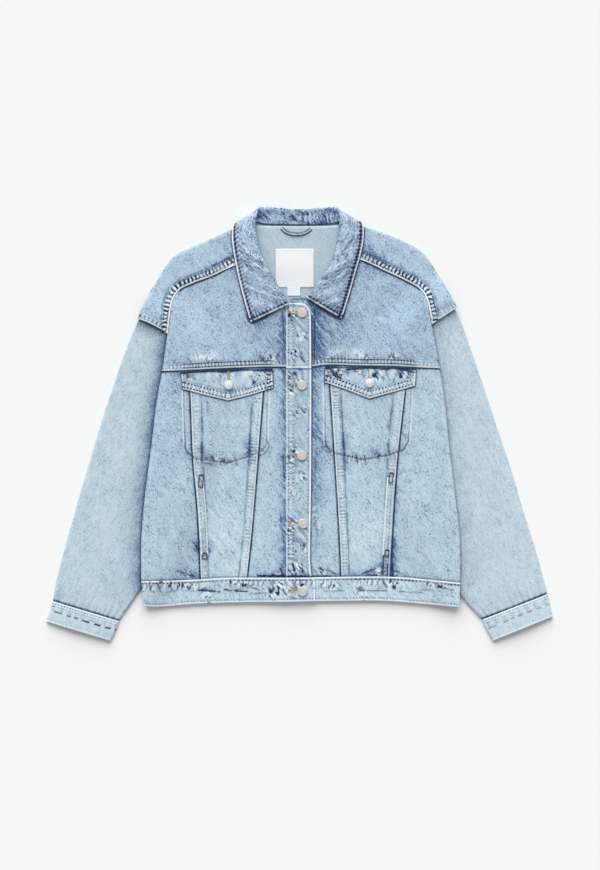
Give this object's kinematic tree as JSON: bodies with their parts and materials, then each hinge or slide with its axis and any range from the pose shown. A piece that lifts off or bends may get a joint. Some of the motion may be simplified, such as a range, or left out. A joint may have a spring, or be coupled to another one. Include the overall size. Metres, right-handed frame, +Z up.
{
  "type": "denim jacket",
  "caption": "Light washed denim trucker jacket laid flat, front up, with a pointed collar, buttoned placket, flap chest pockets and barrel cuffs.",
  "frame": {"origin": "centre of the jacket's outline as laid out, on the surface that it rests on", "axes": "+X from the wearer's right sleeve to the left one, +Y from hem to collar, +Z up off the surface, out of the front"},
  "size_m": [0.8112, 0.6944, 0.0189],
  "materials": {
    "denim": "light stone-washed denim, mottled, with pale worn seam edges",
    "sleeve_denim": "paler washed denim of the sleeves and cuffs",
    "collar_denim": "washed denim, mottled, darker in the creases",
    "denim_inside": "wrong side of the denim, plain grey-blue",
    "label": "plain white woven label, blank",
    "button_metal": "matt nickel-coloured tack button",
    "flap_button_metal": "bright silver tack button"
  },
  "bodies": {
    "root": {"back_center_panel": "denim", "back_side_panel_left": "denim", "back_side_panel_right": "denim", "waistband_back": "denim", "yoke": "denim", "chest_panel_left": "denim", "chest_panel_right": "denim", "side_panel_left": "denim", "side_panel_right": "denim", "pocket_panel_left": "denim", "pocket_panel_right": "denim", "inner_panel_left": "denim", "inner_panel_right": "denim", "waistband_front_left": "denim", "waistband_front_right": "denim", "placket": "denim", "pocket_flap_left": "denim", "pocket_flap_right": "denim", "hand_pocket_welt_left": "denim", "hand_pocket_welt_right": "denim", "hanger_loop": "denim", "sleeve_left": "sleeve_denim", "sleeve_right": "sleeve_denim", "cuff_left": "sleeve_denim", "cuff_right": "sleeve_denim", "collar": "collar_denim", "pocket_bag_left": "denim_inside", "pocket_bag_right": "denim_inside", "label_main": "label", "label_size": "label", "front_button_1": "button_metal", "front_button_2": "button_metal", "front_button_3": "button_metal", "front_button_4": "button_metal", "front_button_5": "button_metal", "flap_button_left": "flap_button_metal", "flap_button_right": "flap_button_metal"}
  },
  "joints": []
}
